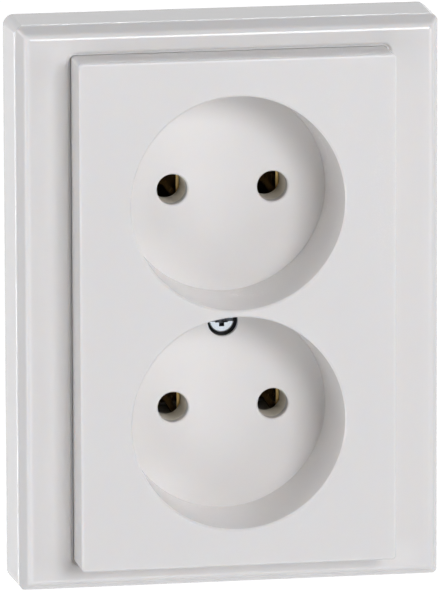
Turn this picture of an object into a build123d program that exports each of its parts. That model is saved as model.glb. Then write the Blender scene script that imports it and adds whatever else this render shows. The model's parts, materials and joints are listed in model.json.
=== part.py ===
"""Double wall socket without earth, for one flush wall box.

The part is drawn lying on its back: x to the right, y up the wall and z out of the wall, with the
wall's surface at z = 0. Each piece is turned upright when it is written, so that +Z is up, the wall
is the plane Y = 0 and the plug cups face -Y.
"""
import os
from math import atan, cos, degrees, radians, sin

from build123d import *

# Plug standard: two round pins
PIN_SPACING = 19.0
PIN_HOLE_R = 2.9
CUP_SPACING = 41.4

# Surround frame
FRAME_W = 80.5
FRAME_H = 107.5
FRAME_CORNER_R = 2.3
FRAME_MITRE_R = 0.7
FRAME_EDGE_Z = 11.7
FRAME_DRAFT = 0.35
FRAME_BEVEL_IN = 1.6
FRAME_BEVEL_UP = 3.3
FRAME_EDGE_R = 4.0
FRAME_SHOULDER_R = 1.5
FRAME_WALL = 2.0
OPENING_GAP = 0.13
GROOVE_W = 0.35
GROOVE_DEPTH = 0.75
GROOVE_LIP_R = 0.65
SKIRT_WALL = 1.6
LEDGE_IN = 2.4
LEDGE_Z = 6.5
LEDGE_THICK = 1.5

# Centre plate with the two plug cups
PLATE_W = 59.5
PLATE_H = 95.6
PLATE_CORNER_R = 0.9
PLATE_FACE_Z = 23.4
PLATE_DRAFT = 0.1
PLATE_WALL = 2.0
PLATE_SKIN = 2.2
PLATE_EDGE_R = 0.5
CUP_MOUTH_R = 20.1
CUP_FLOOR_R = 19.45
CUP_DEPTH = 17.0
CUP_WALL = 1.5
CUP_FLOOR_THICK = 2.2
CUP_MOUTH_EDGE = 0.3
PIN_HOLE_CHAMFER = 0.25

# Screw that holds the centre plate
COVER_SCREW_Y = -4.6
COVER_POCKET_R = 2.9
COVER_HEAD_R = 2.4
COVER_HEAD_H = 1.9
COVER_SEAT_Z = 3.2
COVER_CHAMBER_R = 3.7
COVER_CHAMBER_Z = 5.4
COVER_WASHER_R = 3.5
COVER_WASHER_THICK = 0.6
COVER_BOSS_R = 4.6
COVER_BOSS_Z = 1.4
COVER_SHANK_R = 1.45
COVER_SHANK_L = 13.0
COVER_HOLE_DEPTH = 10.5
NUT_SIDE = 5.5
NUT_THICK = 1.9

# Steel support plate on the wall
SUPPORT_SIDE = 71.0
SUPPORT_CORNER = 9.0
SUPPORT_CORNER_R = 2.5
SUPPORT_THICK = 1.2
BOX_SPACING = 60.0
BOX_SLOT_W = 3.8
BOX_SLOT_L = 6.4
TURN_SLOT_L = 10.0
PIN_WINDOW_W = 29.0
PIN_WINDOW_H = 10.4
RIVET_Y = 12.0
RIVET_R = 1.5
RIVET_HEAD_R = 2.6
RIVET_HEAD_H = 0.9

# Moulded base in the wall box
BASE_R = 28.3
BASE_W = 30.0
BASE_FRONT_DEPTH = 15.8
BASE_BLOCK_H = 27.0
BASE_DEPTH = 21.0
COVER_RIM = 1.4
COVER_THICK = 2.0
COLLAR_R = 4.1
COLLAR_Z = 4.0
POCKET_W = 7.8
POCKET_H = 48.6
POCKET_DEPTH = 14.0
CHAMBER_W = 8.2
CHAMBER_Y = 12.2
CHAMBER_RIB = 1.4
WIRE_NOTCH_H = 6.6

# Brass contact rails
RAIL_W = 7.0
RAIL_THICK = 0.8
RAIL_L = 47.4
FORK_WAIST = 2.1
FORK_ROOT = 2.5
FORK_LIP = 2.25
FORK_THICK = 0.55
FORK_FLAT = 3.44
FORK_ROLL_R = 1.0
FORK_ROLL = 75.0
FORK_LIP_DEPTH = 2.6
FORK_WAIST_DEPTH = 4.6

# Screw terminals, shown open
TERMINAL_Y = 7.5
TERMINAL_SHANK_R = 1.65
TERMINAL_HOLE_R = 1.75
TERMINAL_COLLAR_R = 2.6
TERMINAL_COLLAR_H = 1.6
TERMINAL_HEAD_R = 3.2
TERMINAL_HEAD_H = 2.4
TERMINAL_SHANK_L = 8.8
CLAMP_W = 7.2
CLAMP_H = 8.0
CLAMP_THICK = 1.2
CLAMP_GAP = 2.6

# Spreading claws, shown drawn in
CLAW_PIVOT_X = 24.6
CLAW_PIVOT_Z = -4.2
CLAW_W = 8.0
CLAW_THICK = 1.5
CLAW_CURL_R = 2.3
CLAW_BEND_R = 2.0
CLAW_HEEL_Z = -4.6
CLAW_HEEL_L = 7.0
CLAW_KNEE_Z = -15.4
CLAW_FOOT_ANGLE = 42.0
CLAW_FOOT_L = 4.2
CLAW_TEETH = 4
CLAW_PIN_R = 1.0
CLAW_RUN = 0.05
CLAW_SCREW_X = 19.6
CLAW_TRAVEL = 2.14
CLAW_TIP_GAP = 0.1
CLAW_SHANK_R = 1.45
CLAW_HEAD_R = 2.75
CLAW_HEAD_H = 1.9
LUG_IN = 4.4
LUG_X = (21.9, 27.3)
LUG_DEPTH = 7.0

PIN_X = PIN_SPACING / 2
CUP_Y = CUP_SPACING / 2
CUP_FLOOR_Z = PLATE_FACE_Z - CUP_DEPTH
FLAT_Z = FRAME_EDGE_Z + FRAME_BEVEL_UP
OPENING_W = PLATE_W + 2 * OPENING_GAP
OPENING_H = PLATE_H + 2 * OPENING_GAP
OPENING_CORNER_R = PLATE_CORNER_R + OPENING_GAP - PLATE_DRAFT
LOW = (Align.CENTER, Align.CENTER, Align.MIN)
PINS = [(x, y) for x in (-PIN_X, PIN_X) for y in (-CUP_Y, CUP_Y)]


def prism(outline, low, high):
    """An outline carried straight from one height to another."""
    return extrude(Pos(0, 0, low) * outline, high - low)


def drum(radius, low, high, x=0.0, y=0.0):
    """A round post or hole along z."""
    return Pos(x, y, low) * Cylinder(radius, high - low, align=LOW)


def cone(low_r, high_r, low, high, x=0.0, y=0.0):
    """A tapered post or hole along z."""
    return Pos(x, y, low) * Cone(low_r, high_r, high - low, align=LOW)


def block(x, y, z):
    """A box between the two limits given for each direction."""
    size = [b - a for a, b in (x, y, z)]
    middle = [(a + b) / 2 for a, b in (x, y, z)]
    return Pos(*middle) * Box(*size)


def rounded(width, height, radius):
    return RectangleRounded(width, height, radius)


def edges_at(solid, height):
    """Edges that lie level at one height."""
    return solid.edges().filter_by_position(Axis.Z, height - 1e-4, height + 1e-4)


def bevelled_section(width):
    """Section across the frame: drafted walls, a steep bevel and a flat top, with its edges rounded."""
    wall = width / 2
    edge = wall - FRAME_DRAFT
    flat = edge - FRAME_BEVEL_IN
    half = [(wall, 0), (edge, FRAME_EDGE_Z), (flat, FLAT_Z)]
    other = [(-x, z) for x, z in half[::-1]]
    section = make_face(Polyline(*half, *other, close=True))
    for height, radius in ((FRAME_EDGE_Z, FRAME_EDGE_R), (FLAT_Z, FRAME_SHOULDER_R)):
        corners = section.vertices().filter_by_position(Axis.Y, height - 0.01, height + 0.01)
        section = fillet(corners, radius)
    return section


def mitred_form():
    """The frame's outer form: two bevelled prisms that meet on softened mitres at the corners."""
    across = extrude(Plane.XZ * bevelled_section(FRAME_W), FRAME_H / 2, both=True)
    along = extrude(Plane.YZ * bevelled_section(FRAME_H), FRAME_W / 2, both=True)
    x, y = FRAME_W / 2, FRAME_H / 2
    sides = make_face(Polyline((-x, -y), (0, x - y), (x, -y), (x, y), (0, y - x), (-x, y), close=True))
    sector = prism(sides, -1, FLAT_Z + 1)
    form = (across & sector) + (along - sector)
    mitres = [e for e in form.edges() if min(abs(e.tangent_at(0.5).X), abs(e.tangent_at(0.5).Y)) > 0.01]
    form = fillet(mitres, FRAME_MITRE_R)
    spare = 0.1
    outline = rounded(FRAME_W + spare, FRAME_H + spare, FRAME_CORNER_R)
    draft = degrees(atan(FRAME_DRAFT / FRAME_EDGE_Z))
    return form & extrude(outline, FLAT_Z + 1, taper=draft)


def surround_frame():
    form = mitred_form()
    rim = 2 * (FRAME_WALL + FRAME_DRAFT)
    hollow = prism(rounded(FRAME_W - rim, FRAME_H - rim, 1.0), -1, FLAT_Z - FRAME_WALL)
    opening = rounded(OPENING_W, OPENING_H, OPENING_CORNER_R)
    around = rounded(OPENING_W + 2 * SKIRT_WALL, OPENING_H + 2 * SKIRT_WALL, OPENING_CORNER_R + SKIRT_WALL)
    within = rounded(OPENING_W - 2 * LEDGE_IN, OPENING_H - 2 * LEDGE_IN, OPENING_CORNER_R)
    skirt_low = LEDGE_Z - LEDGE_THICK
    frame = form - hollow
    frame += prism(around, skirt_low, FLAT_Z - FRAME_WALL / 2)
    reach_x = FRAME_W / 2 - 0.7 * FRAME_WALL
    reach_y = FRAME_H / 2 - 0.7 * FRAME_WALL
    rib_z = (skirt_low, FRAME_EDGE_Z - 0.6)
    for y in (-40.0, -15.0, 15.0, 40.0):
        frame += block((-reach_x, reach_x), (y - 0.6, y + 0.6), rib_z)
    for x in (-18.0, 18.0):
        frame += block((x - 0.6, x + 0.6), (-reach_y, reach_y), rib_z)
    frame -= prism(opening, LEDGE_Z, FLAT_Z + 1)
    frame -= prism(within, -1, FLAT_Z)
    groove_w, groove_h = OPENING_W + 2 * GROOVE_W, OPENING_H + 2 * GROOVE_W
    groove = rounded(groove_w, groove_h, OPENING_CORNER_R + GROOVE_W)
    frame -= prism(groove, FLAT_Z - GROOVE_DEPTH, FLAT_Z + 1)
    lip = edges_at(frame, FLAT_Z)
    lip = lip.filter_by_position(Axis.X, -groove_w / 2 - 0.1, groove_w / 2 + 0.1)
    lip = lip.filter_by_position(Axis.Y, -groove_h / 2 - 0.1, groove_h / 2 + 0.1)
    return fillet(lip, GROOVE_LIP_R)


def centre_plate():
    draft = degrees(atan(PLATE_DRAFT / (PLATE_FACE_Z - LEDGE_Z)))
    foot = Pos(0, 0, LEDGE_Z) * rounded(PLATE_W + 2 * PLATE_DRAFT, PLATE_H + 2 * PLATE_DRAFT, PLATE_CORNER_R)
    form = extrude(foot, PLATE_FACE_Z - LEDGE_Z, taper=draft)
    form = fillet(edges_at(form, PLATE_FACE_Z), PLATE_EDGE_R)
    inside = rounded(PLATE_W - 2 * PLATE_WALL, PLATE_H - 2 * PLATE_WALL, 1.0)
    plate = form - prism(inside, LEDGE_Z, PLATE_FACE_Z - PLATE_SKIN)
    rib_low = LEDGE_Z + 2.5
    rib_high = PLATE_FACE_Z - PLATE_SKIN / 2
    for y in (-CUP_Y, CUP_Y):
        plate += block((1 - PLATE_W / 2, PLATE_W / 2 - 1), (y - 0.6, y + 0.6), (rib_low, rib_high))
    plate += block((-0.6, 0.6), (1 - PLATE_H / 2, PLATE_H / 2 - 1), (rib_low, rib_high))
    floor_low = CUP_FLOOR_Z - CUP_FLOOR_THICK
    for y in (-CUP_Y, CUP_Y):
        plate += cone(CUP_FLOOR_R + CUP_WALL, CUP_MOUTH_R + CUP_WALL, floor_low, PLATE_FACE_Z - 1, y=y)
    plate += drum(COVER_BOSS_R, COVER_BOSS_Z, CUP_FLOOR_Z, y=COVER_SCREW_Y)
    for y in (-CUP_Y, CUP_Y):
        plate -= cone(CUP_FLOOR_R, CUP_MOUTH_R, CUP_FLOOR_Z, PLATE_FACE_Z, y=y)
    mouths = edges_at(plate, PLATE_FACE_Z).filter_by(GeomType.CIRCLE)
    mouths = mouths.filter_by(lambda e: abs(e.radius - CUP_MOUTH_R) < 0.01)
    plate = chamfer(mouths, CUP_MOUTH_EDGE)
    for x, y in PINS:
        plate -= drum(PIN_HOLE_R, floor_low - 1, CUP_FLOOR_Z + 1, x, y)
        wide = PIN_HOLE_R + PIN_HOLE_CHAMFER
        plate -= cone(PIN_HOLE_R, wide, CUP_FLOOR_Z - PIN_HOLE_CHAMFER, CUP_FLOOR_Z, x, y)
    plate -= drum(COVER_POCKET_R, COVER_SEAT_Z, CUP_FLOOR_Z + 0.3, y=COVER_SCREW_Y)
    plate -= drum(COVER_CHAMBER_R, COVER_SEAT_Z - COVER_WASHER_THICK, COVER_CHAMBER_Z, y=COVER_SCREW_Y)
    plate -= drum(COVER_SHANK_R + 0.25, COVER_BOSS_Z - 1, COVER_SEAT_Z + 1, y=COVER_SCREW_Y)
    return plate


def screw(head_r, head_h, shank_r, length, tip_r, tip_h):
    """A cheese-head screw with its head's seat at z = 0, its shank below and a combination recess."""
    head = drum(head_r, 0, head_h)
    head = chamfer(edges_at(head, head_h), 0.2 * head_h)
    body = head + drum(shank_r, -length + tip_h, 0) + cone(tip_r, shank_r, -length, -length + tip_h)
    slot = 0.13 * head_r
    body -= block((-head_r, head_r), (-slot, slot), (0.62 * head_h, head_h))
    lobe, reach = 0.21 * head_r, 0.52 * head_r
    for wide, high in ((lobe, reach), (reach, lobe)):
        body -= block((-wide, wide), (-high, high), (0.4 * head_h, head_h))
    return body


def cover_screw_washer():
    """Rubber washer under the screw's head, which keeps the loosened screw in the plate."""
    low = COVER_SEAT_Z - COVER_WASHER_THICK
    washer = drum(COVER_WASHER_R, low, COVER_SEAT_Z, y=COVER_SCREW_Y)
    return washer - drum(COVER_SHANK_R + 0.05, low - 1, COVER_SEAT_Z + 1, y=COVER_SCREW_Y)


def support_plate():
    outline = chamfer(Rectangle(SUPPORT_SIDE, SUPPORT_SIDE).vertices(), SUPPORT_CORNER)
    outline = fillet(outline.vertices(), SUPPORT_CORNER_R)
    half = BOX_SPACING / 2
    for side in (-1, 1):
        outline -= Pos(side * half, 0) * SlotOverall(BOX_SLOT_L, BOX_SLOT_W)
        outline -= Pos(0, side * half) * SlotOverall(TURN_SLOT_L, BOX_SLOT_W)
        outline -= Pos(0, side * CUP_Y) * rounded(PIN_WINDOW_W, PIN_WINDOW_H, 2.0)
        outline -= Pos(0, side * RIVET_Y) * Circle(RIVET_R)
        outline -= Pos(side * CLAW_SCREW_X, 0) * Circle(CLAW_SHANK_R + CLAW_RUN)
    outline -= Pos(0, COVER_SCREW_Y) * Circle(COVER_SHANK_R + 0.25)
    plate = prism(outline, 0, SUPPORT_THICK)
    flap = LUG_IN + SUPPORT_THICK
    for side in (-1, 1):
        span = sorted((side * LUG_X[0], side * LUG_X[1]))
        for up in (-1, 1):
            across = sorted((up * flap, up * (flap + LUG_DEPTH)))
            plate -= block(span, across, (-1, SUPPORT_THICK + 1))
            across = sorted((up * LUG_IN, up * flap))
            lug = block(span, across, (-LUG_DEPTH, SUPPORT_THICK))
            lug = fillet(edges_at(lug.edges().filter_by(Axis.Y), -LUG_DEPTH), 2.2)
            plate += lug
        hole = Rot(90, 0, 0) * Cylinder(CLAW_PIN_R, 30)
        plate -= Pos(side * CLAW_PIVOT_X, 0, CLAW_PIVOT_Z) * hole
    return plate


def base_outline():
    outline = Circle(BASE_R) & Rectangle(BASE_W, 2 * BASE_R)
    return fillet(outline.vertices(), 2.0)


def insert_base():
    base = prism(base_outline(), -BASE_FRONT_DEPTH, 0)
    base += prism(rounded(BASE_W, BASE_BLOCK_H, 2.0), -BASE_DEPTH, -BASE_FRONT_DEPTH + 1)
    base -= prism(offset(base_outline(), -COVER_RIM), -COVER_THICK, 1)
    for side in (-1, 1):
        x = side * PIN_X
        base -= prism(Pos(x, 0) * rounded(POCKET_W, POCKET_H, 1.5), -POCKET_DEPTH, -COVER_THICK)
        for up in (-1, 1):
            across = sorted((up * CHAMBER_RIB / 2, up * CHAMBER_Y))
            wide = (x - CHAMBER_W / 2, x + CHAMBER_W / 2)
            base -= block(wide, across, (-BASE_DEPTH - 1, -POCKET_DEPTH + 0.01))
            notch = (up * TERMINAL_Y - WIRE_NOTCH_H / 2, up * TERMINAL_Y + WIRE_NOTCH_H / 2)
            base -= block(sorted((x, side * BASE_W)), notch, (-BASE_DEPTH - 1, -POCKET_DEPTH - 0.2))
        base -= drum(RIVET_R, -BASE_DEPTH - 1, 1, y=side * RIVET_Y)
        base -= drum(RIVET_HEAD_R + 0.2, -BASE_DEPTH - 1, -BASE_DEPTH + 1.2, y=side * RIVET_Y)
    base -= drum(COVER_SHANK_R + 0.35, -COVER_HOLE_DEPTH, 0, y=COVER_SCREW_Y)
    return base


def contact_cover():
    cover = prism(offset(base_outline(), -COVER_RIM - 0.1), -COVER_THICK, 0)
    for x, y in PINS:
        cover += drum(COLLAR_R, 0, COLLAR_Z, x, y)
    for x, y in PINS:
        cover -= drum(PIN_HOLE_R, -COVER_THICK - 1, COLLAR_Z + 1, x, y)
    for side in (-1, 1):
        cover -= drum(RIVET_R, -COVER_THICK - 1, 1, y=side * RIVET_Y)
    nest = NUT_SIDE + 0.2
    cover -= Pos(0, COVER_SCREW_Y, 0) * Box(nest, nest, 4 * COVER_THICK)
    return cover


def cover_screw_nut():
    nut = chamfer(Box(NUT_SIDE, NUT_SIDE, NUT_THICK).edges().group_by(Axis.Z)[-1], 0.3)
    nut -= Cylinder(COVER_SHANK_R + 0.03, 2 * NUT_THICK)
    return Pos(0, COVER_SCREW_Y, -COVER_THICK / 2) * nut


def leaf_section():
    """Plan of one fork leaf at the waist: a flat that faces the pin, with both edges rolled in round it."""
    half = FORK_FLAT / 2
    turn = FORK_WAIST - FORK_ROLL_R
    edges = []
    ends = {-1: [], 1: []}
    for radius in (FORK_ROLL_R, FORK_ROLL_R + FORK_THICK):
        edges.append(Line((turn + radius, -half), (turn + radius, half)))
        for up in (-1, 1):
            edges.append(CenterArc((turn, up * half), radius, 0, up * FORK_ROLL))
            ends[up].append(edges[-1] @ 1)
    for up in (-1, 1):
        edges.append(Line(*ends[up]))
    return make_face(edges)


def fork_leaf():
    """Spring leaf from its root on the rail, drawn in to a waist and flared to a lip."""
    levels = [
        (FORK_ROOT, -POCKET_DEPTH),
        (FORK_WAIST, -FORK_WAIST_DEPTH - 1.2),
        (FORK_WAIST, -FORK_WAIST_DEPTH),
        (FORK_LIP, -FORK_LIP_DEPTH),
    ]
    sections = [Pos(x - FORK_WAIST, 0, z) * leaf_section() for x, z in levels]
    return loft(sections, ruled=True)


def contact_rail(x):
    strip = Rectangle(2 * (FORK_ROOT + FORK_THICK), RAIL_L) + rounded(RAIL_W, 2 * CHAMBER_Y + 1.5, 1.0)
    rail = prism(strip, -POCKET_DEPTH, -POCKET_DEPTH + RAIL_THICK)
    leaf = fork_leaf()
    for y in (-CUP_Y, CUP_Y):
        rail += Pos(0, y, 0) * leaf
        rail += Pos(0, y, 0) * mirror(leaf, Plane.YZ)
    front = -POCKET_DEPTH + RAIL_THICK
    for y in (-TERMINAL_Y, TERMINAL_Y):
        rail += drum(TERMINAL_COLLAR_R, front, front + TERMINAL_COLLAR_H, y=y)
        rail -= drum(TERMINAL_HOLE_R, front - 2, front + TERMINAL_COLLAR_H + 1, y=y)
    return Pos(x, 0, 0) * rail


def terminal_clamp():
    clamp = Box(CLAMP_W, CLAMP_H, CLAMP_THICK)
    clamp -= Cylinder(TERMINAL_HOLE_R + 0.1, 2 * CLAMP_THICK)
    for y in (-1, 1):
        groove = Rot(0, 90, 0) * Cylinder(0.8, 2 * CLAMP_W)
        clamp -= Pos(0, y * 2.9, CLAMP_THICK / 2 + 0.35) * groove
    return clamp


def claw():
    """Right-hand claw, bent from strip: a heel under the screw, a curl round the pin and a toothed foot."""
    px, pz = CLAW_PIVOT_X, CLAW_PIVOT_Z
    arm_x = px + 0.15
    heel_z = CLAW_HEEL_Z - CLAW_THICK / 2
    run = Vector(cos(radians(CLAW_FOOT_ANGLE)), -sin(radians(CLAW_FOOT_ANGLE)))
    toe = Vector(arm_x, CLAW_KNEE_Z) + CLAW_FOOT_L * run
    arm = FilletPolyline((arm_x, pz), (arm_x, CLAW_KNEE_Z), toe, radius=CLAW_BEND_R)
    heel = Line((px - CLAW_HEEL_L, heel_z), (px, heel_z))
    side = trace(arm, CLAW_THICK) + trace(heel, CLAW_THICK) + Pos(px, pz) * Circle(CLAW_CURL_R)
    body = extrude(Plane.XZ * side, CLAW_W / 2, both=True)
    foot = Vector(run.X, 0, run.Y)
    foot_plane = Plane(origin=(toe.X, 0, toe.Y), x_dir=foot, z_dir=foot.cross(Vector(0, 1, 0)))
    half = CLAW_W / CLAW_TEETH / 2
    for n in range(CLAW_TEETH + 1):
        y = (2 * n - CLAW_TEETH) * half
        notch = make_face(Polyline((0.6, y - half), (-1.2, y), (0.6, y + half), close=True))
        body -= extrude(foot_plane * notch, CLAW_THICK, both=True)
    hole = Rot(90, 0, 0) * Cylinder(CLAW_PIN_R + CLAW_RUN, 2 * CLAW_W)
    return body - Pos(px, 0, pz) * hole


def rivet():
    """A through rivet with its front head on the support plate and a rolled rear end."""
    top = SUPPORT_THICK
    body = drum(RIVET_R, -BASE_DEPTH + 1.2, top) + drum(RIVET_HEAD_R, top, top + RIVET_HEAD_H)
    body += drum(RIVET_HEAD_R - 0.2, -BASE_DEPTH + 0.4, -BASE_DEPTH + 1.2)
    body -= drum(0.9, -BASE_DEPTH, -BASE_DEPTH + 3.0)
    return chamfer(edges_at(body, top + RIVET_HEAD_H), 0.35)


def pieces():
    """Every node of the assembly by name."""
    out = {
        "surround_frame": surround_frame(),
        "centre_plate": centre_plate(),
        "cover_screw_washer": cover_screw_washer(),
        "support_plate": support_plate(),
        "insert_base": insert_base(),
        "contact_cover": contact_cover(),
        "cover_screw_nut": cover_screw_nut(),
    }
    cover = screw(COVER_HEAD_R, COVER_HEAD_H, COVER_SHANK_R, COVER_SHANK_L, 0.9, 0.8)
    out["cover_screw"] = Pos(0, COVER_SCREW_Y, COVER_SEAT_Z) * cover
    clamp_z = -POCKET_DEPTH - CLAMP_GAP - CLAMP_THICK
    shank = TERMINAL_SHANK_L
    terminal = Rot(180, 0, 0) * screw(TERMINAL_HEAD_R, TERMINAL_HEAD_H, TERMINAL_SHANK_R, shank, 1.1, 0.8)
    for side, hand in ((-1, "left"), (1, "right")):
        out[f"{hand}_contact_rail"] = contact_rail(side * PIN_X)
        for up, level in ((1, "upper"), (-1, "lower")):
            at = (side * PIN_X, up * TERMINAL_Y)
            out[f"{hand}_{level}_terminal_screw"] = Pos(*at, clamp_z) * terminal
            out[f"{hand}_{level}_terminal_clamp"] = Pos(*at, clamp_z + CLAMP_THICK / 2) * terminal_clamp()
    tip_z = CLAW_HEEL_Z + CLAW_TIP_GAP
    seat_z = SUPPORT_THICK + CLAW_TRAVEL + 0.1
    claw_screw = screw(CLAW_HEAD_R, CLAW_HEAD_H, CLAW_SHANK_R, seat_z - tip_z, 0.5, 1.0)
    for side, hand in ((-1, "left"), (1, "right")):
        out[f"{hand}_claw"] = claw() if side > 0 else mirror(claw(), Plane.YZ)
        out[f"{hand}_claw_screw"] = Pos(side * CLAW_SCREW_X, 0, seat_z) * claw_screw
        pin = Rot(90, 0, 0) * Cylinder(CLAW_PIN_R, 2 * (LUG_IN + SUPPORT_THICK) + 1.0)
        out[f"{hand}_claw_pin"] = Pos(side * CLAW_PIVOT_X, 0, CLAW_PIVOT_Z) * pin
    for up, level in ((1, "upper"), (-1, "lower")):
        out[f"{level}_base_rivet"] = Pos(0, up * RIVET_Y, 0) * rivet()
    return out


os.makedirs("parts", exist_ok=True)
for node, solid in pieces().items():
    export_step(Plane.XZ * solid, f"parts/{node}.step")
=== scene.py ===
"""Double wall socket: finishes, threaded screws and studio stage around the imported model.

The file is laid out as an add-on. Its settings hold what a user would change, each operator dresses one
group of pieces, and main() runs them in order.
"""
import json
from math import cos, floor, hypot, pi, radians, sin, tau

import bmesh
import bpy
from bpy.props import FloatProperty, FloatVectorProperty, IntProperty, PointerProperty
from mathutils import Matrix, Vector


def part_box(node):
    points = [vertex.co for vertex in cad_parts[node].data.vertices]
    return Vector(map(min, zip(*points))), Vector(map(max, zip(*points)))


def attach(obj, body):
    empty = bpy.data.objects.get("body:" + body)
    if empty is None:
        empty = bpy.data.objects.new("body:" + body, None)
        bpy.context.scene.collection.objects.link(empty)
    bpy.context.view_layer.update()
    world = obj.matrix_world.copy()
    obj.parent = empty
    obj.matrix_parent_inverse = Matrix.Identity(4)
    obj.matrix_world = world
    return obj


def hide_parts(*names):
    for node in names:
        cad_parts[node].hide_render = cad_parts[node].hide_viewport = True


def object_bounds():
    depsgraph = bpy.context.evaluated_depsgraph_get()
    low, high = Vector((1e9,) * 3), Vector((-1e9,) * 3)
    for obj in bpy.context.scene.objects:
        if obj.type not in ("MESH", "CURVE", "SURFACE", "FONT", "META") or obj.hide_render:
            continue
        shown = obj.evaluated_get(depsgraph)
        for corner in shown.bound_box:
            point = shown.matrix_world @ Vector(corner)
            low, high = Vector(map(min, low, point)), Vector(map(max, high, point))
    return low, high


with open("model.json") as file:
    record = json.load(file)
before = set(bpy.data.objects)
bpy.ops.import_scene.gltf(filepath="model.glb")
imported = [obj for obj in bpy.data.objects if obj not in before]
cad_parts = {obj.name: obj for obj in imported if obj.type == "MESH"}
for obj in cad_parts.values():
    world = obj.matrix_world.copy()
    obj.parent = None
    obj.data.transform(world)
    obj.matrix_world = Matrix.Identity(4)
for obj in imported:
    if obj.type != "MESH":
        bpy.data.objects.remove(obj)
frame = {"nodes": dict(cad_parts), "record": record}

bl_info = {
    "name": "Double Wall Socket Looks",
    "version": (1, 0, 0),
    "blender": (4, 5, 0),
    "location": "3D View > Sidebar > Socket",
    "description": "Finishes, threaded screws and studio stage for a double wall socket",
    "category": "Object",
}

CAD_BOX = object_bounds()
MM = 0.001
UP = Vector((0.0, 0.0, 1.0))
WHITE = (1.0, 1.0, 1.0, 1.0)
BLACK = (0.0, 0.0, 0.0, 1.0)
SLOT_COLOURS = {entry["slot"]: entry["base_color"] for entry in frame["record"]["materials"]}
MOUNTS = {mount["name"]: mount for mount in frame["record"]["mounts"]}

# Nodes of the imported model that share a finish, and the body that carries each screw
HANDS = ("left", "right")
LEVELS = ("upper", "lower")
TERMINALS = [f"{hand}_{level}_terminal" for hand in HANDS for level in LEVELS]
SCREWS = {"cover_screw": "socket"}
SCREWS.update({f"{name}_screw": name for name in TERMINALS})
SCREWS.update({f"{hand}_claw_screw": f"{hand}_claw_screw" for hand in HANDS})
SHEET_NODES = ["support_plate"]
SHEET_NODES += [f"{name}_clamp" for name in TERMINALS]
SHEET_NODES += [f"{hand}_claw" for hand in HANDS]
FASTENER_NODES = ["cover_screw_nut"]
FASTENER_NODES += [f"{hand}_claw_pin" for hand in HANDS]
FASTENER_NODES += [f"{level}_base_rivet" for level in LEVELS]
RAIL_NODES = [f"{hand}_contact_rail" for hand in HANDS]

# Spring contacts of the rails: painted shade darkens them between two heights below the pin holes, behind a
# front lip that is left bright
PIN_HEIGHT = MOUNTS["upper_pin_holes"]["pos_m"][2]
RAIL_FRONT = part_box(RAIL_NODES[0])[0].y
FORK_START = PIN_HEIGHT - 6.7 * MM
FORK_FULL = PIN_HEIGHT - 5.2 * MM
LIP_START = RAIL_FRONT + 0.2 * MM
LIP_END = RAIL_FRONT + 0.6 * MM
LIP_WAVER = 0.3 * MM

# Reading a screw's solid: what counts as its rim, and how near its seat and tip a point lies
RIM_SHARE = 0.97
SEAT_BAND = 0.1 * MM
TIP_BAND = 0.05 * MM

# Screw heads: rounding of the upper edge as a share of the height, its steps, and the chamfer below
HEAD_ROUND = 0.16
HEAD_STEPS = 4
HEAD_CHAMFER = 0.06 * MM

# Screw shanks: fillet under the head, start of the thread, and how steep the sides of its groove are
NECK_FILLET = 0.1 * MM
THREAD_START = 0.3 * MM
GROOVE_SLOPE = 2.4

# Driver recesses: the slot's cutter in head radii, the cutters' rise above the head, and the cross's taper
SLOT_LENGTH = 2.4
CUTTER_RISE = 0.1 * MM
CROSS_TAPER = 0.8
CREASE_ANGLE = radians(38.0)

# Share of the plating's colour left in the driver recess, which is painted dark as shade
RECESS_SHADE = 0.12

# Bending of light in the white plastic and in the mineral-filled one
WHITE_IOR = 1.5
FILLED_IOR = 1.52

# How far red, green and blue reach inside the white plastic, as shares of the light's reach
REACH_SHARES = (1.0, 0.85, 0.7)

# Sizes of the lamps' faces in metres, width and height
SOFTBOX = (0.4, 0.4)
TOP_STRIP = (0.8, 0.08)
REAR_STRIP = (0.8, 0.12)
SIDE_STRIP = (0.16, 0.8)

# Lamps round the part: azimuth and elevation in degrees, face, power in watts
LAMPS = (
    ("key_softbox", 15.0, 15.0, SOFTBOX, 6.7),
    ("right_fill", 45.0, 0.0, SOFTBOX, 1.9),
    ("right_softbox", 95.0, 10.0, SOFTBOX, 3.2),
    ("lower_front_fill", -30.0, -15.0, SOFTBOX, 1.7),
    ("lower_left_softbox", -75.0, -10.0, SOFTBOX, 2.3),
    ("left_softbox", -90.0, 30.0, SOFTBOX, 3.7),
    ("rear_left_softbox", -110.0, 10.0, SOFTBOX, 1.2),
    ("lower_softbox", 0.0, -40.0, SOFTBOX, 1.4),
    ("top_front_strip", 19.0, 58.0, TOP_STRIP, 0.95),
    ("rear_top_strip", 168.0, 36.0, REAR_STRIP, 2.0),
    ("rear_left_strip", -144.0, -10.0, SIDE_STRIP, 2.4),
)
LAMP_DISTANCE = 1.2

# Camera: width of its film in millimetres and the nearest distance that it sees in metres
FILM_WIDTH = 36.0
NEAREST_SEEN = 0.01

# Floor: half of its side in metres, and the roughness of its paper
FLOOR_REACH = 8.0
FLOOR_ROUGHNESS = 0.9

# Middle of a noise pattern's range
NOISE_MIDDLE = 0.5

# Sockets of the colour form of a Mix node
MIX_FACTOR = 0
MIX_FIRST = 6
MIX_SECOND = 7
MIX_RESULT = 2


# Settings

def colour_setting(name, description, slot):
    """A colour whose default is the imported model's colour for a material slot."""
    return FloatVectorProperty(
        name=name, description=description, default=SLOT_COLOURS[slot], subtype="COLOR", size=3, min=0.0,
        max=1.0
    )


def roughness_setting(name, description, default):
    """A roughness from nearly mirror-like to fully matt."""
    return FloatProperty(
        name=name, description=description, default=default, min=0.05, max=1.0, subtype="FACTOR"
    )


def share_setting(name, description, default, low=0.0, high=1.0):
    """A share between two limits."""
    return FloatProperty(
        name=name, description=description, default=default, min=low, max=high, subtype="FACTOR"
    )


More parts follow.
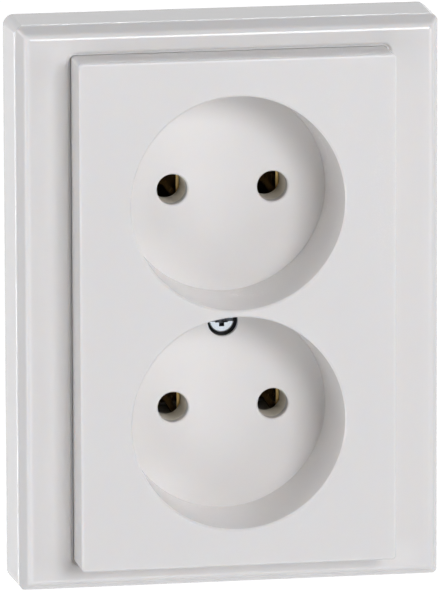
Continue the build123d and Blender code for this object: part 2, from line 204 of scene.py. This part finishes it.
def length_setting(name, description, default):
    """A length or distance in metres."""
    return FloatProperty(
        name=name, description=description, default=default, min=0.0, subtype="DISTANCE", unit="LENGTH"
    )


def angle_setting(name, description, degrees):
    """An angle whose default is given in degrees."""
    return FloatProperty(
        name=name, description=description, default=radians(degrees), subtype="ANGLE", unit="ROTATION"
    )


class SocketFinishSettings(bpy.types.PropertyGroup):
    """Colours and gloss of the materials."""

    frame_colour: colour_setting("Frame", "Colour of the surround frame", "white_frame")
    plate_colour: colour_setting("Plate", "Colour of the centre plate", "white_plate")
    base_colour: colour_setting("Base", "Colour of the moulded base", "base_moulding")
    cover_colour: colour_setting("Contact cover", "Colour of the contact cover", "cover_moulding")
    sheet_colour: colour_setting("Sheet steel", "Colour of the zinc-plated sheet", "zinc_sheet")
    fastener_colour: colour_setting("Fasteners", "Colour of the screws, pins and rivets", "zinc_fastener")
    # The washer's black stands for rubber and also for the shade deep in the screw pocket
    rubber_colour: colour_setting("Rubber", "Colour of the washer under the cover screw", "black_rubber")
    brass_colour: colour_setting("Brass", "Colour of the contact rails", "brass_strip")
    frame_roughness: roughness_setting("Frame gloss", "Roughness of the surround frame", 0.20)
    plate_roughness: roughness_setting("Plate gloss", "Roughness of the centre plate", 0.26)
    matt_roughness: roughness_setting("Matt", "Roughness of the hidden mouldings", 0.55)
    sheet_roughness: roughness_setting("Sheet gloss", "Roughness of the zinc-plated sheet", 0.54)
    fastener_roughness: roughness_setting("Fastener gloss", "Roughness of screws, pins and rivets", 0.232)
    rubber_roughness: roughness_setting("Rubber gloss", "Roughness of the washer where it is clean", 0.60)
    brass_roughness: roughness_setting("Brass gloss", "Roughness of the contact rails", 0.24)
    translucency: share_setting("Translucency", "Share of light that passes into the white mouldings", 0.5)
    light_reach: length_setting("Light reach", "How far light travels inside the white mouldings", 1.2 * MM)


class SocketScrewSettings(bpy.types.PropertyGroup):
    """Sizes of the threads and of the driver recess."""

    pitch: length_setting("Pitch", "Rise of the thread in one turn", 0.5 * MM)
    depth: length_setting("Depth", "Depth of the thread", 0.28 * MM)
    slot_width: share_setting("Slot", "Width of the driver slot in head radii", 0.26, 0.1, 0.6)
    slot_depth: share_setting("Slot depth", "Depth of the driver slot in head heights", 0.55, 0.1, 0.8)
    cross_width: share_setting("Cross", "Width of the cross recess in head radii", 0.42, 0.1, 0.8)
    cross_reach: share_setting("Cross reach", "Length of the cross recess in head radii", 1.04, 0.4, 1.6)
    cross_depth: share_setting("Cross depth", "Depth of the cross recess in head heights", 0.85, 0.1, 0.9)
    around: IntProperty(name="Sides", description="Points round a screw", default=36, min=12, max=96)
    per_turn: IntProperty(
        name="Steps", description="Rings in one turn of the thread", default=8, min=4, max=24
    )


class SocketStageSettings(bpy.types.PropertyGroup):
    """Camera, floor and light."""

    azimuth: angle_setting("Azimuth", "Turn of the camera to the left of the front", 10.178)
    elevation: angle_setting("Elevation", "Height of the camera above the horizon", 10.909)
    roll: angle_setting("Roll", "Turn of the camera about its own axis", -0.174)
    distance: length_setting("Distance", "From the camera to the wall plane", 1.6)
    pan: FloatVectorProperty(
        name="Pan", description="Camera moved right and up in its own plane", size=2,
        default=(0.626 * MM, -1.573 * MM), subtype="XYZ", unit="LENGTH"
    )
    lens: FloatProperty(
        name="Lens", description="Focal length in millimetres", default=513.13, min=10.0,
        subtype="DISTANCE_CAMERA"
    )
    floor_drop: length_setting("Floor drop", "How far the floor lies below the part, which hangs", 1.0)
    floor_colour: FloatVectorProperty(
        name="Floor", description="Colour of the floor", default=(0.86, 0.86, 0.86), subtype="COLOR", size=3,
        min=0.0, max=1.0
    )
    floor_lift: share_setting("Floor lift", "White added to the floor where it is looked at", 1.0)
    lamp_colour: FloatVectorProperty(
        name="Lamps", description="Colour of the lamps, a cool white", default=(0.985, 1.0, 1.05),
        subtype="COLOR", size=3, min=0.0, max=2.0
    )
    ambient: FloatProperty(
        name="Ambient", description="Strength of the even light from all round", default=0.02, min=0.0,
        max=2.0
    )


# Node wiring

class Wire:
    """One socket of a node tree. Sums and products of wires add Math nodes."""

    def __init__(self, net, socket):
        self.net = net
        self.socket = socket

    def beside(self, name):
        """Another output of the same node."""
        return Wire(self.net, self.socket.node.outputs[name])

    def __add__(self, other):
        return self.net.math("ADD", self, other)

    def __radd__(self, other):
        return self.net.math("ADD", other, self)

    def __sub__(self, other):
        return self.net.math("SUBTRACT", self, other)

    def __rsub__(self, other):
        return self.net.math("SUBTRACT", other, self)

    def __mul__(self, other):
        return self.net.math("MULTIPLY", self, other)

    def __rmul__(self, other):
        return self.net.math("MULTIPLY", other, self)


class Net:
    """A node tree, emptied and then wired one node at a time."""

    def __init__(self, tree):
        self.tree = tree
        tree.nodes.clear()

    def node(self, kind, settings=None, inputs=None, output=0):
        """Adds a node, applies its settings, then gives its sockets values or wires."""
        made = self.tree.nodes.new(kind)
        for key, value in (settings or {}).items():
            setattr(made, key, value)
        for key, value in (inputs or {}).items():
            if isinstance(value, Wire):
                self.tree.links.new(value.socket, made.inputs[key])
            else:
                made.inputs[key].default_value = value
        return Wire(self, made.outputs[output]) if made.outputs else None

    def math(self, operation, *values):
        return self.node("ShaderNodeMath", {"operation": operation}, dict(enumerate(values)))

    def blend(self, factor, first, second):
        """One colour passing into another."""
        inputs = {MIX_FACTOR: factor, MIX_FIRST: first, MIX_SECOND: second}
        return self.node("ShaderNodeMix", {"data_type": "RGBA"}, inputs, MIX_RESULT)

    def places(self, stretch=(1.0, 1.0, 1.0)):
        """Positions in metres on the piece, stretched along its axes."""
        coords = self.node("ShaderNodeTexCoord", output="Object")
        return self.node("ShaderNodeMapping", inputs={"Vector": coords, "Scale": stretch})

    def axes(self, vector):
        """The three parts of a position."""
        x = self.node("ShaderNodeSeparateXYZ", inputs={"Vector": vector}, output="X")
        return x, x.beside("Y"), x.beside("Z")

    def noise(self, vector, scale, detail, roughness=0.5):
        """Noise of so many cells to the metre."""
        inputs = {"Vector": vector, "Scale": scale, "Detail": detail, "Roughness": roughness}
        return self.node("ShaderNodeTexNoise", inputs=inputs)

    def window(self, value, low, high):
        """0 below one level of a value and 1 above another."""
        inputs = {"Value": value, "From Min": low, "From Max": high}
        return self.node("ShaderNodeMapRange", {"clamp": True}, inputs)

    def bump(self, height, strength, distance):
        inputs = {"Height": height, "Strength": strength, "Distance": distance}
        return self.node("ShaderNodeBump", inputs=inputs, output="Normal")


def tint(colour, gain=1.0):
    """A colour with full alpha, lighter or darker by a factor."""
    return tuple(min(1.0, gain * part) for part in colour) + (1.0,)


def cast(colour, red, green, blue):
    """A colour with full alpha, each part of it scaled by a factor of its own."""
    return (red * colour[0], green * colour[1], blue * colour[2], 1.0)


def sway(pattern, amount):
    """How far a noise pattern strays from its middle, times an amount."""
    return amount * (pattern - NOISE_MIDDLE)


def new_material(name):
    material = bpy.data.materials.new(name)
    material.use_nodes = True
    return material, Net(material.node_tree)


def surface(net, inputs):
    shader = net.node("ShaderNodeBsdfPrincipled", inputs=inputs)
    net.node("ShaderNodeOutputMaterial", inputs={"Surface": shader})


# Finishes

def gloss_moulding(name, colour, roughness, finish):
    """White moulded plastic: a warm cast that flows faintly, an orange-peel skin and a fine grain."""
    material, net = new_material(name)
    place = net.places()
    flow = net.noise(net.places(stretch=(1.0, 1.0, 0.35)), scale=45.0, detail=3.0)
    peel = net.noise(place, scale=1100.0, detail=1.5)
    grain = net.noise(place, scale=9000.0, detail=1.0)
    deep = cast(colour, red=0.995, green=0.970, blue=0.930)
    pale = cast(colour, red=1.025, green=0.995, blue=0.955)
    surface(net, {
        "Base Color": net.blend(flow, deep, pale),
        "Roughness": roughness + sway(flow, 0.06) + sway(grain, 0.03),
        "IOR": WHITE_IOR,
        "Subsurface Weight": finish.translucency,
        "Subsurface Radius": REACH_SHARES,
        "Subsurface Scale": finish.light_reach,
        "Normal": net.bump(0.8 * peel + 0.2 * grain, strength=0.25, distance=0.012 * MM),
    })
    return material


def matt_moulding(name, colour, roughness):
    """Mineral-filled plastic: pale and dark specks, clouded tone and a spark-eroded skin."""
    material, net = new_material(name)
    place = net.places()
    cloud = net.noise(place, scale=130.0, detail=4.0)
    speck = net.noise(place, scale=5200.0, detail=2.0)
    grain = net.noise(place, scale=7000.0, detail=2.0, roughness=0.7)
    clouded = net.blend(cloud, tint(colour, gain=0.9), tint(colour, gain=1.1))
    dark = net.window(speck, low=0.62, high=0.72)
    pale = net.window(1.0 - speck, low=0.64, high=0.74)
    flecked = net.blend(0.45 * dark, clouded, tint(colour, gain=0.55))
    surface(net, {
        "Base Color": net.blend(0.4 * pale, flecked, tint(colour, gain=1.35)),
        "Roughness": roughness + sway(cloud, 0.12) + sway(grain, 0.1),
        "IOR": FILLED_IOR,
        "Normal": net.bump(grain, strength=0.35, distance=0.03 * MM),
    })
    return material


def soft_rubber(name, colour, roughness):
    """Black rubber: a fine dusty bloom on a pitted skin."""
    material, net = new_material(name)
    place = net.places()
    dust = net.window(net.noise(place, scale=1500.0, detail=4.0, roughness=0.7), low=0.5, high=0.8)
    pits = net.noise(place, scale=8000.0, detail=2.0)
    surface(net, {
        "Base Color": net.blend(0.3 * dust, tint(colour), tint(colour, gain=2.5)),
        "Roughness": roughness + 0.2 * dust,
        "Normal": net.bump(pits, strength=0.3, distance=0.02 * MM),
    })
    return material


def plated_sheet(name, colour, roughness):
    """Zinc-plated sheet: lines from the rolling mill, cool and warm patches of passivation, and scuffs."""
    material, net = new_material(name)
    patch = net.noise(net.places(), scale=170.0, detail=3.0, roughness=0.6)
    mill = net.noise(net.places(stretch=(1.0, 1.0, 0.02)), scale=9000.0, detail=2.0)
    scratch = net.noise(net.places(stretch=(0.12, 0.12, 1.0)), scale=5200.0, detail=3.0)
    scuff = net.window(scratch, low=0.6, high=0.75)
    cool = cast(colour, red=0.94, green=0.99, blue=1.04)
    warm = cast(colour, red=1.04, green=1.0, blue=0.9)
    plating = net.blend(net.window(patch, low=0.35, high=0.65), cool, warm)
    surface(net, {
        "Base Color": net.blend(0.25 * scuff, plating, tint(colour, gain=1.2)),
        "Metallic": 1.0,
        "Roughness": roughness + sway(patch, 0.2) + sway(mill, 0.14) + 0.1 * scuff,
        "Normal": net.bump(mill, strength=0.12, distance=0.02 * MM),
    })
    return material


def plated_fastener(name, colour, roughness):
    """Bright zinc on turned pieces: tool rings about the piece's own axis, and a clouded bloom."""
    material, net = new_material(name)
    place = net.places()
    bloom = net.noise(place, scale=900.0, detail=3.0, roughness=0.6)
    x, y, _ = net.axes(place)
    from_axis = net.math("SQRT", x * x + y * y)
    rings = net.node(
        "ShaderNodeTexNoise", {"noise_dimensions": "1D"}, {"W": from_axis, "Scale": 16000.0, "Detail": 1.0}
    )
    blue = cast(colour, red=0.88, green=0.98, blue=1.10)
    surface(net, {
        "Base Color": net.blend(bloom, tint(colour, gain=0.92), blue),
        "Metallic": 1.0,
        "Roughness": roughness + sway(bloom, 0.16) + sway(rings, 0.1),
        "Normal": net.bump(rings, strength=0.15, distance=0.01 * MM),
    })
    return material


def brass_strip(name, colour, roughness):
    """Brass strip: rolling lines, brown tarnish, and painted shade on the spring contacts behind their
    bright front lips.
    """
    material, net = new_material(name)
    place = net.places()
    tarnish = net.noise(place, scale=260.0, detail=4.0, roughness=0.65)
    lines = net.noise(net.places(stretch=(1.0, 1.0, 0.03)), scale=9500.0, detail=2.0)
    brown = cast(colour, red=0.62, green=0.52, blue=0.42)
    # Nearly black brown that paints shade on the spring contacts below the pin holes
    fork_shade_colour = cast(colour, red=0.07, green=0.05, blue=0.03)
    _, depth, height = net.axes(place)
    # Masks of the painted shade: a band of heights below the pin holes, and the depths behind the front lip
    fork_shade_band = net.window(net.math("ABSOLUTE", height), low=FORK_START, high=FORK_FULL)
    behind_lip_shade = net.window(depth + LIP_WAVER * tarnish, low=LIP_START, high=LIP_END)
    dulled = net.window(tarnish, low=0.45, high=0.75)
    strip = net.blend(0.7 * dulled, tint(colour, gain=1.25), brown)
    surface(net, {
        "Base Color": net.blend(0.96 * fork_shade_band * behind_lip_shade, strip, fork_shade_colour),
        "Metallic": 1.0,
        "Roughness": roughness + sway(tarnish, 0.2) + sway(lines, 0.1),
        "Normal": net.bump(lines, strength=0.1, distance=0.02 * MM),
    })
    return material


def dress(nodes, material):
    """Gives CAD nodes a finish."""
    for name in nodes:
        frame["nodes"][name].data.materials[0] = material


# Screws

class ScrewMeasure:
    """A screw's axis, seat and sizes, read from its solid."""

    def __init__(self, node):
        low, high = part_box(node)
        self.axis_x = (low.x + high.x) / 2
        self.axis_z = (low.z + high.z) / 2
        corners = [vertex.co for vertex in frame["nodes"][node].data.vertices]
        points = [(p.y, hypot(p.x - self.axis_x, p.z - self.axis_z)) for p in corners]
        self.head_r = max(r for _, r in points)
        rim = [y for y, r in points if r > RIM_SHARE * self.head_r]
        to_front = (min(rim) - low.y) < (high.y - max(rim))
        self.out = -1.0 if to_front else 1.0
        top, tip = (low.y, high.y) if to_front else (high.y, low.y)
        self.seat = max(rim) if to_front else min(rim)
        self.head_h = abs(self.seat - top)
        self.length = high.y - low.y - self.head_h
        self.shank_r = max(r for y, r in points if (self.seat - y) * self.out > SEAT_BAND)
        self.tip_r = max(r for y, r in points if abs(y - tip) < TIP_BAND)
        self.tip_h = min(abs(y - tip) for y, r in points if r > RIM_SHARE * self.shank_r)

    def placed(self):
        """Puts the screw's own frame, with +Z out of its head and z = 0 at its seat, into the row frame."""
        turn = Matrix.Rotation(-self.out * pi / 2, 4, "X")
        return Matrix.Translation((self.axis_x, self.seat, self.axis_z)) @ turn


def skin_rings(rings):
    """A closed mesh over rings of points from one pole to the other."""
    shape = bmesh.new()
    first = shape.verts.new(rings[0])
    last = shape.verts.new(rings[-1])
    loops = [[shape.verts.new(point) for point in ring] for ring in rings[1:-1]]
    count = len(loops[0])
    for n in range(count):
        after = (n + 1) % count
        shape.faces.new((first, loops[0][n], loops[0][after]))
        shape.faces.new((last, loops[-1][after], loops[-1][n]))
        for upper, lower in zip(loops, loops[1:]):
            shape.faces.new((upper[n], lower[n], lower[after], upper[after]))
    bmesh.ops.recalc_face_normals(shape, faces=shape.faces)
    return shape


def to_object(shape, name):
    """Turns built geometry into an object in the scene."""
    mesh = bpy.data.meshes.new(name)
    shape.to_mesh(mesh)
    shape.free()
    piece = bpy.data.objects.new(name, mesh)
    bpy.context.scene.collection.objects.link(piece)
    return piece


def plain_ring(radius, height, count):
    turns = [tau * n / count for n in range(count)]
    return [(radius * cos(turn), radius * sin(turn), height) for turn in turns]


def thread_ring(size, settings, height, fade):
    """One ring of the threaded shank, drawn in where the groove passes."""
    points = []
    for n in range(settings.around):
        turn = n / settings.around
        phase = height / settings.pitch - turn
        phase -= floor(phase)
        groove = max(0.0, 1.0 - GROOVE_SLOPE * abs(phase - 0.5))
        radius = size.shank_r - settings.depth * fade * groove
        points.append((radius * cos(tau * turn), radius * sin(tau * turn), height))
    return points


def head_rings(size, count):
    """Rings from the rounded edge of the head to the neck under it."""
    edge = HEAD_ROUND * size.head_h
    rings = []
    for step in range(HEAD_STEPS + 1):
        angle = step / HEAD_STEPS * pi / 2
        inset = edge * (1 - sin(angle))
        drop = edge * (1 - cos(angle))
        rings.append(plain_ring(size.head_r - inset, size.head_h - drop, count))
    rings.append(plain_ring(size.head_r, HEAD_CHAMFER, count))
    rings.append(plain_ring(size.head_r - HEAD_CHAMFER, 0.0, count))
    rings.append(plain_ring(size.shank_r + NECK_FILLET, 0.0, count))
    rings.append(plain_ring(size.shank_r, -NECK_FILLET, count))
    return rings


def shank_rings(size, settings):
    """Rings of the thread, which fades in below the head, and of the tip."""
    bottom = -size.length + size.tip_h
    reach = -THREAD_START - bottom
    steps = round(reach / settings.pitch * settings.per_turn)
    rings = []
    for step in range(steps + 1):
        run = reach * step / steps
        fade = min(1.0, run / settings.pitch)
        rings.append(thread_ring(size, settings, -THREAD_START - run, fade))
    rings.append(plain_ring(size.tip_r, -size.length, settings.around))
    return rings


def recess_wedge(length, width, top, depth, taper):
    """A cutter for one bar of a driver recess, narrower at its foot."""
    shape = bmesh.new()
    loops = []
    for height, share in ((top, 1.0), (top - depth, taper)):
        x = share * length / 2
        y = share * width / 2
        loops.append([shape.verts.new(p + (height,)) for p in ((-x, -y), (x, -y), (x, y), (-x, y))])
    upper, lower = loops
    shape.faces.new(upper)
    shape.faces.new(lower[::-1])
    for n in range(len(upper)):
        after = (n + 1) % len(upper)
        shape.faces.new((upper[n], lower[n], lower[after], upper[after]))
    bmesh.ops.recalc_face_normals(shape, faces=shape.faces)
    return to_object(shape, "recess_cutter")


def recess_cutters(size, settings):
    """Cutters for a straight slot and for the two bars of a cross."""
    top = size.head_h + CUTTER_RISE
    slot_depth = settings.slot_depth * size.head_h + CUTTER_RISE
    slot_width = settings.slot_width * size.head_r
    cross_depth = settings.cross_depth * size.head_h + CUTTER_RISE
    cross_width = settings.cross_width * size.head_r
    cross_reach = settings.cross_reach * size.head_r
    return [
        recess_wedge(SLOT_LENGTH * size.head_r, slot_width, top, slot_depth, 1.0),
        recess_wedge(cross_reach, cross_width, top, cross_depth, CROSS_TAPER),
        recess_wedge(cross_width, cross_reach, top, cross_depth, CROSS_TAPER),
    ]


def carve(piece, cutters):
    """Cuts the cutters out of a piece, leaves their material on the cut faces and removes them; on the
    screws that material is the painted shade of the driver recess.
    """
    for cutter in cutters:
        cut = piece.modifiers.new("recess", "BOOLEAN")
        cut.operation = "DIFFERENCE"
        cut.solver = "EXACT"
        cut.material_mode = "TRANSFER"
        cut.object = cutter
    carved = bpy.data.meshes.new_from_object(piece.evaluated_get(bpy.context.evaluated_depsgraph_get()))
    piece.modifiers.clear()
    piece.data = carved
    for cutter in cutters:
        bpy.data.objects.remove(cutter)


def build_screw(node, settings, plating, shade):
    """A threaded screw with a slot and cross recess, in the place of its solid."""
    size = ScrewMeasure(node)
    crown = (0.0, 0.0, size.head_h)
    foot = (0.0, 0.0, -size.length)
    rings = [crown, *head_rings(size, settings.around), *shank_rings(size, settings), foot]
    piece = to_object(skin_rings(rings), f"{node}_threaded")
    piece.data.materials.append(plating)
    cutters = recess_cutters(size, settings)
    # The recess cutters carry the painted shade, which the boolean leaves on the recess faces
    for cutter in cutters:
        cutter.data.materials.append(shade)
    carve(piece, cutters)
    piece.data.shade_smooth()
    piece.data.set_sharp_from_angle(angle=CREASE_ANGLE)
    piece.matrix_world = size.placed()
    return piece


# Stage

def look_rotation(forward, up):
    """Turn of a camera or lamp that looks along one direction with another upward."""
    back = -forward.normalized()
    right = up.cross(back).normalized()
    return Matrix((right, back.cross(right), back)).transposed().to_4x4()


def compass(azimuth, elevation):
    """Unit vector to a place round the object, with azimuth 0 in front and to the right as it grows."""
    return Vector((sin(azimuth) * cos(elevation), -cos(azimuth) * cos(elevation), sin(elevation)))


def add_camera(settings):
    forward = -compass(-settings.azimuth, settings.elevation)
    right = forward.cross(UP).normalized()
    up = right.cross(forward)
    rolled_right = right * cos(settings.roll) + up * sin(settings.roll)
    rolled_up = up * cos(settings.roll) - right * sin(settings.roll)
    place = -forward * settings.distance + rolled_right * settings.pan[0] + rolled_up * settings.pan[1]
    optics = bpy.data.cameras.new("photo_camera")
    optics.sensor_width = FILM_WIDTH
    optics.lens = settings.lens
    optics.clip_start = NEAREST_SEEN
    camera = bpy.data.objects.new("photo_camera", optics)
    camera.matrix_world = Matrix.Translation(place) @ look_rotation(forward, rolled_up)
    bpy.context.scene.collection.objects.link(camera)
    bpy.context.scene.camera = camera


def add_lamp(colour, name, azimuth, elevation, face, power):
    """A rectangular lamp aimed at the middle of the object."""
    lamp = bpy.data.lights.new(name, "AREA")
    lamp.shape = "RECTANGLE"
    lamp.size, lamp.size_y = face
    lamp.energy = power
    lamp.color = colour
    toward = compass(radians(azimuth), radians(elevation))
    holder = bpy.data.objects.new(name, lamp)
    holder.matrix_world = Matrix.Translation(LAMP_DISTANCE * toward) @ look_rotation(-toward, UP)
    bpy.context.scene.collection.objects.link(holder)


def seen_directly(net):
    """1 on rays that show a surface as it is: from the camera, in a reflection or through glass."""
    path = net.node("ShaderNodeLightPath", output="Is Camera Ray")
    either = net.math("MAXIMUM", path, path.beside("Is Glossy Ray"))
    return net.math("MAXIMUM", either, path.beside("Is Transmission Ray"))


def floor_material(settings):
    """Matt pale paper that turns white where it is looked at."""
    material, net = new_material("studio_floor")
    fibre = net.noise(net.places(), scale=900.0, detail=3.0)
    shaded = tint(settings.floor_colour, gain=0.99)
    raised = tint(settings.floor_colour, gain=1.01)
    surface(net, {
        "Base Color": net.blend(fibre, shaded, raised),
        "Roughness": FLOOR_ROUGHNESS,
        "Emission Color": net.blend(settings.floor_lift * seen_directly(net), BLACK, WHITE),
        "Emission Strength": 1.0,
    })
    return material


def add_floor(settings):
    level = CAD_BOX[0].z - settings.floor_drop
    shape = bmesh.new()
    bmesh.ops.create_grid(shape, x_segments=4, y_segments=4, size=FLOOR_REACH)
    bmesh.ops.translate(shape, vec=(0.0, 0.0, level), verts=shape.verts)
    ground = to_object(shape, "studio_floor")
    ground.data.materials.append(floor_material(settings))


def add_world(settings):
    """Even grey light from all round, with white wherever it is looked at."""
    world = bpy.data.worlds.new("studio_world")
    world.use_nodes = True
    net = Net(world.node_tree)
    even = net.node("ShaderNodeBackground", inputs={"Color": WHITE, "Strength": settings.ambient})
    white = net.node("ShaderNodeBackground", inputs={"Color": WHITE, "Strength": 1.0})
    mixed = net.node("ShaderNodeMixShader", inputs={0: seen_directly(net), 1: even, 2: white})
    net.node("ShaderNodeOutputWorld", inputs={"Surface": mixed})
    bpy.context.scene.world = world


# Operators

class SOCKET_OT_dress_mouldings(bpy.types.Operator):
    """Finish the white surround frame and centre plate"""
    bl_idname = "socket.dress_mouldings"
    bl_label = "White Mouldings"

    def execute(self, context):
        look = context.scene.socket_finish
        frame_white = gloss_moulding("frame_gloss_white", look.frame_colour, look.frame_roughness, look)
        plate_white = gloss_moulding("plate_gloss_white", look.plate_colour, look.plate_roughness, look)
        dress(["surround_frame"], frame_white)
        dress(["centre_plate"], plate_white)
        return {"FINISHED"}


class SOCKET_OT_dress_insert(bpy.types.Operator):
    """Finish the moulded base and the contact cover"""
    bl_idname = "socket.dress_insert"
    bl_label = "Insert Mouldings"

    def execute(self, context):
        look = context.scene.socket_finish
        dress(["insert_base"], matt_moulding("base_matt_grey", look.base_colour, look.matt_roughness))
        dress(["contact_cover"], matt_moulding("cover_matt_ivory", look.cover_colour, look.matt_roughness))
        return {"FINISHED"}


class SOCKET_OT_dress_washer(bpy.types.Operator):
    """Finish the rubber washer under the cover screw, whose black also stands in for the shade deep in the
    screw pocket
    """
    bl_idname = "socket.dress_washer"
    bl_label = "Rubber Washer"

    def execute(self, context):
        look = context.scene.socket_finish
        # Black rubber that also paints the shade in the screw pocket round the head
        rubber = soft_rubber("washer_rubber_and_pocket_shade", look.rubber_colour, look.rubber_roughness)
        dress(["cover_screw_washer"], rubber)
        return {"FINISHED"}


class SOCKET_OT_dress_sheet(bpy.types.Operator):
    """Finish the support plate, the claws and the terminal clamps"""
    bl_idname = "socket.dress_sheet"
    bl_label = "Plated Sheet"

    def execute(self, context):
        look = context.scene.socket_finish
        dress(SHEET_NODES, plated_sheet("zinc_rolled_sheet", look.sheet_colour, look.sheet_roughness))
        return {"FINISHED"}


class SOCKET_OT_dress_rails(bpy.types.Operator):
    """Finish the brass contact rails"""
    bl_idname = "socket.dress_rails"
    bl_label = "Brass Rails"

    def execute(self, context):
        look = context.scene.socket_finish
        dress(RAIL_NODES, brass_strip("brass_rolled_strip", look.brass_colour, look.brass_roughness))
        return {"FINISHED"}


class SOCKET_OT_build_screws(bpy.types.Operator):
    """Build the threaded screws and finish the other fasteners"""
    bl_idname = "socket.build_screws"
    bl_label = "Screws And Fasteners"

    def execute(self, context):
        look = context.scene.socket_finish
        # The driver recess is painted dark as shade: a darkened copy of the plating goes on its faces
        recess_shade_colour = [RECESS_SHADE * part for part in look.fastener_colour]
        plating = plated_fastener("zinc_turned", look.fastener_colour, look.fastener_roughness)
        shade = plated_fastener("zinc_recess_painted_shade", recess_shade_colour, look.fastener_roughness)
        dress(FASTENER_NODES, plating)
        for node, body in SCREWS.items():
            piece = build_screw(node, context.scene.socket_screws, plating, shade)
            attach(piece, body)
            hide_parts(node)
        return {"FINISHED"}


class SOCKET_OT_set_stage(bpy.types.Operator):
    """Set up the floor, the light and the camera"""
    bl_idname = "socket.set_stage"
    bl_label = "Studio Stage"

    def execute(self, context):
        stage = context.scene.socket_stage
        add_floor(stage)
        add_world(stage)
        for lamp in LAMPS:
            add_lamp(stage.lamp_colour, *lamp)
        add_camera(stage)
        context.scene.view_settings.view_transform = "Standard"
        return {"FINISHED"}


OPERATORS = (
    SOCKET_OT_dress_mouldings,
    SOCKET_OT_dress_insert,
    SOCKET_OT_dress_washer,
    SOCKET_OT_dress_sheet,
    SOCKET_OT_dress_rails,
    SOCKET_OT_build_screws,
    SOCKET_OT_set_stage,
)


class SOCKET_PT_looks(bpy.types.Panel):
    """Settings and steps for the socket's looks"""
    bl_idname = "SOCKET_PT_looks"
    bl_label = "Double Wall Socket"
    bl_space_type = "VIEW_3D"
    bl_region_type = "UI"
    bl_category = "Socket"

    def draw(self, context):
        scene = context.scene
        for settings in (scene.socket_finish, scene.socket_screws, scene.socket_stage):
            box = self.layout.box()
            for key in settings.__annotations__:
                box.prop(settings, key)
        for operator in OPERATORS:
            self.layout.operator(operator.bl_idname)


CLASSES = (SocketFinishSettings, SocketScrewSettings, SocketStageSettings) + OPERATORS + (SOCKET_PT_looks,)


def register():
    for cls in CLASSES:
        bpy.utils.register_class(cls)
    bpy.types.Scene.socket_finish = PointerProperty(type=SocketFinishSettings)
    bpy.types.Scene.socket_screws = PointerProperty(type=SocketScrewSettings)
    bpy.types.Scene.socket_stage = PointerProperty(type=SocketStageSettings)


def unregister():
    del bpy.types.Scene.socket_stage
    del bpy.types.Scene.socket_screws
    del bpy.types.Scene.socket_finish
    for cls in reversed(CLASSES):
        bpy.utils.unregister_class(cls)


def main():
    register()
    bpy.ops.socket.dress_mouldings()
    bpy.ops.socket.dress_insert()
    bpy.ops.socket.dress_washer()
    bpy.ops.socket.dress_sheet()
    bpy.ops.socket.dress_rails()
    bpy.ops.socket.build_screws()
    bpy.ops.socket.set_stage()


if __name__ == "__main__":
    main()
